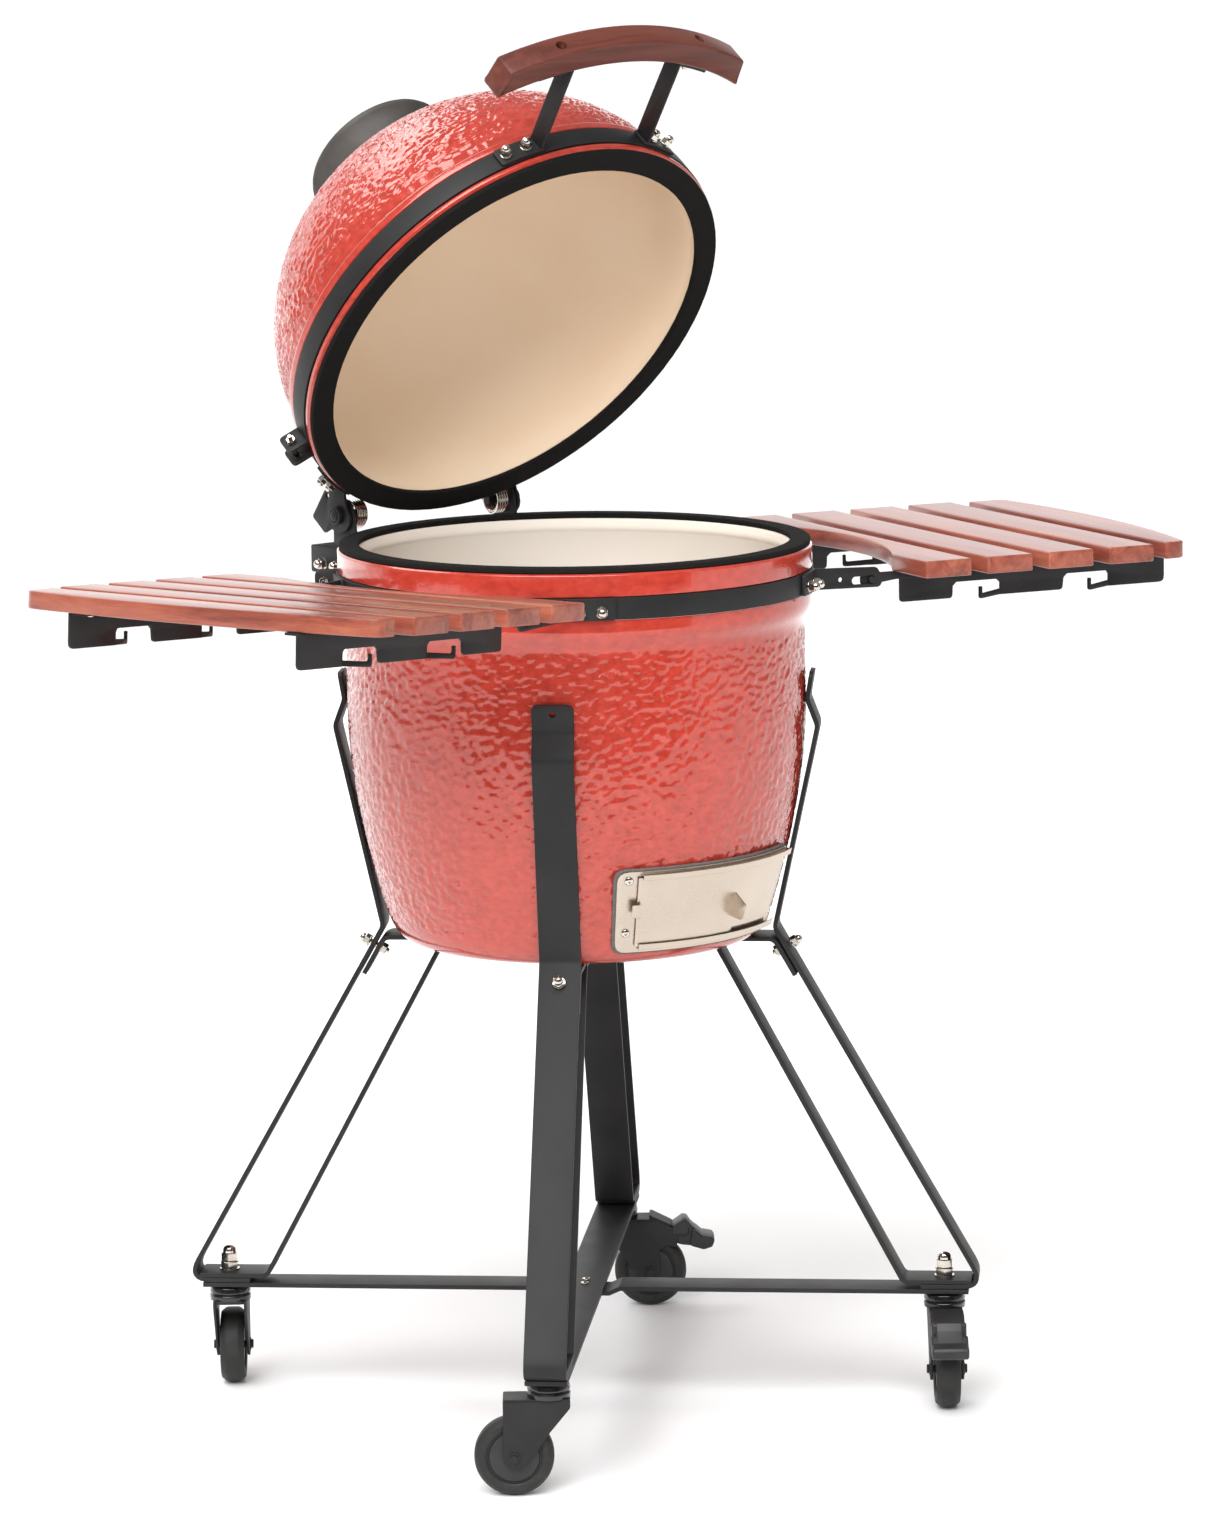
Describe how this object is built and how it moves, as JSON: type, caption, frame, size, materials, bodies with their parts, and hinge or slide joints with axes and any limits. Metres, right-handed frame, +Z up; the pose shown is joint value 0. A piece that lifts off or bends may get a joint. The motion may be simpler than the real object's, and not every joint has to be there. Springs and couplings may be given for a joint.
{
  "type": "kamado ceramic grill",
  "caption": "Ceramic kamado grill with a sprung hinged lid, wooden handle, folding slatted side shelves and a bent-bar stand on swivel casters.",
  "frame": {"origin": "middle of the whole grill on the floor, lid open as stored", "axes": "+Z up, -Y towards the front where the draft door and handle are, +X to the right-hand shelf"},
  "size_m": [1.225, 0.6898, 1.3541],
  "materials": {
    "glaze": "gloss glaze, pebbled",
    "fireclay": "matt",
    "felt": "dense felt",
    "black_steel": "satin powder coat",
    "stainless": "polished",
    "chrome": "bright",
    "cast_iron": "matt coated",
    "slat_wood": "stained satin",
    "handle_wood": "stained satin",
    "wheel_rubber": "matt",
    "black_plastic": "matt"
  },
  "bodies": {
    "stand": {"bowl": "glaze", "cooking_grate": "stainless", "fire_bowl": "fireclay", "draft_frame": "stainless", "cradle_front_right": "black_steel", "hinge_base_bracket": "black_steel", "base_band": "black_steel", "charcoal_grate": "cast_iron", "cradle_front_left": "black_steel", "base_gasket": "felt", "fire_ring": "fireclay", "base_bar_front_right": "black_steel", "leg_front_left": "black_steel", "leg_front_right": "black_steel", "leg_back_right": "black_steel", "leg_back_left": "black_steel", "draft_gasket": "felt", "hinge_spring_right": "chrome", "hinge_spring_left": "chrome", "shelf_arm_right_back": "black_steel", "shelf_arm_left_back": "black_steel", "shelf_arm_right_front": "black_steel", "shelf_arm_left_front": "black_steel", "base_bar_front_left": "black_steel", "hinge_pin_right": "black_steel", "hinge_pin_left": "black_steel"},
    "lid": {"dome": "glaze", "lid_gasket": "felt", "lid_band": "black_steel", "handle": "handle_wood", "handle_strap_left": "black_steel", "handle_strap_right": "black_steel", "hinge_lid_bracket": "black_steel", "vent_housing": "cast_iron"},
    "vent_wheel": {"vent_wheel": "cast_iron"},
    "draft_door": {"draft_door": "stainless"},
    "shelf_left": {"slat_left_1": "slat_wood", "slat_left_2": "slat_wood", "slat_left_3": "slat_wood", "slat_left_4": "slat_wood", "slat_left_5": "slat_wood", "shelf_bracket_left_front": "black_steel", "shelf_bracket_left_back": "black_steel"},
    "shelf_right": {"slat_right_1": "slat_wood", "slat_right_2": "slat_wood", "slat_right_3": "slat_wood", "slat_right_4": "slat_wood", "slat_right_5": "slat_wood", "shelf_bracket_right_front": "black_steel", "shelf_bracket_right_back": "black_steel"},
    "caster_front_left": {"caster_fork_front_left": "black_steel"},
    "wheel_front_left": {"caster_wheel_front_left": "wheel_rubber"},
    "caster_front_right": {"caster_fork_front_right": "black_steel"},
    "wheel_front_right": {"caster_wheel_front_right": "wheel_rubber"},
    "pedal_front_right": {"brake_pedal_front_right": "black_plastic"},
    "caster_back_right": {"caster_fork_back_right": "black_steel"},
    "wheel_back_right": {"caster_wheel_back_right": "wheel_rubber"},
    "pedal_back_right": {"brake_pedal_back_right": "black_plastic"},
    "caster_back_left": {"caster_fork_back_left": "black_steel"},
    "wheel_back_left": {"caster_wheel_back_left": "wheel_rubber"}
  },
  "joints": [
    {"name": "lid_hinge", "type": "hinge", "parent": "stand", "child": "lid", "pos_m": [-0.0006, 0.23167, 0.86753], "axis": [1, 0, 0], "range_deg": [0, 53], "stiffness_Nm_per_rad": 24},
    {"name": "vent_turn", "type": "hinge", "parent": "lid", "child": "vent_wheel", "pos_m": [-0.0006, 0.29765, 1.212], "axis": [0, 0.7986, 0.6018], "range_deg": [0, 60]},
    {"name": "draft_slide", "type": "hinge", "parent": "stand", "child": "draft_door", "pos_m": [-0.0006, -0.00373, 0.51953], "axis": [0, 0, 1], "range_deg": [0, 11]},
    {"name": "shelf_fold_left", "type": "hinge", "parent": "stand", "child": "shelf_left", "pos_m": [-0.24829, -0.06641, 0.81253], "axis": [0.2453, -0.9694, 0], "range_deg": [0, 93.7]},
    {"name": "shelf_fold_right", "type": "hinge", "parent": "stand", "child": "shelf_right", "pos_m": [0.2471, -0.06641, 0.81253], "axis": [0.2453, 0.9694, 0], "range_deg": [0, 90]},
    {"name": "caster_swivel_front_left", "type": "hinge", "parent": "stand", "child": "caster_front_left", "pos_m": [-0.25218, -0.25532, 0.10853], "axis": [0, 0, 1], "continuous": true},
    {"name": "wheel_spin_front_left", "type": "hinge", "parent": "caster_front_left", "child": "wheel_front_left", "pos_m": [-0.27776, -0.23446, 0.03753], "axis": [-0.632, -0.7749, 0], "continuous": true},
    {"name": "caster_swivel_front_right", "type": "hinge", "parent": "stand", "child": "caster_front_right", "pos_m": [0.25099, -0.25532, 0.10853], "axis": [0, 0, 1], "continuous": true},
    {"name": "wheel_spin_front_right", "type": "hinge", "parent": "caster_front_right", "child": "wheel_front_right", "pos_m": [0.23009, -0.28086, 0.03753], "axis": [0.7738, -0.6334, 0], "continuous": true},
    {"name": "brake_press_front_right", "type": "hinge", "parent": "caster_front_right", "child": "pedal_front_right", "pos_m": [0.21426, -0.3002, 0.07453], "axis": [0.7738, -0.6334, 0], "range_deg": [0, 12]},
    {"name": "caster_swivel_back_right", "type": "hinge", "parent": "stand", "child": "caster_back_right", "pos_m": [0.25099, 0.24786, 0.10853], "axis": [0, 0, 1], "continuous": true},
    {"name": "wheel_spin_back_right", "type": "hinge", "parent": "caster_back_right", "child": "wheel_back_right", "pos_m": [0.27657, 0.227, 0.03753], "axis": [0.632, 0.7749, 0], "continuous": true},
    {"name": "brake_press_back_right", "type": "hinge", "parent": "caster_back_right", "child": "pedal_back_right", "pos_m": [0.29594, 0.2112, 0.07453], "axis": [0.632, 0.7749, 0], "range_deg": [0, 12]},
    {"name": "caster_swivel_back_left", "type": "hinge", "parent": "stand", "child": "caster_back_left", "pos_m": [-0.25218, 0.24786, 0.10853], "axis": [0, 0, 1], "continuous": true},
    {"name": "wheel_spin_back_left", "type": "hinge", "parent": "caster_back_left", "child": "wheel_back_left", "pos_m": [-0.23128, 0.27339, 0.03753], "axis": [-0.7738, 0.6334, 0], "continuous": true}
  ]
}
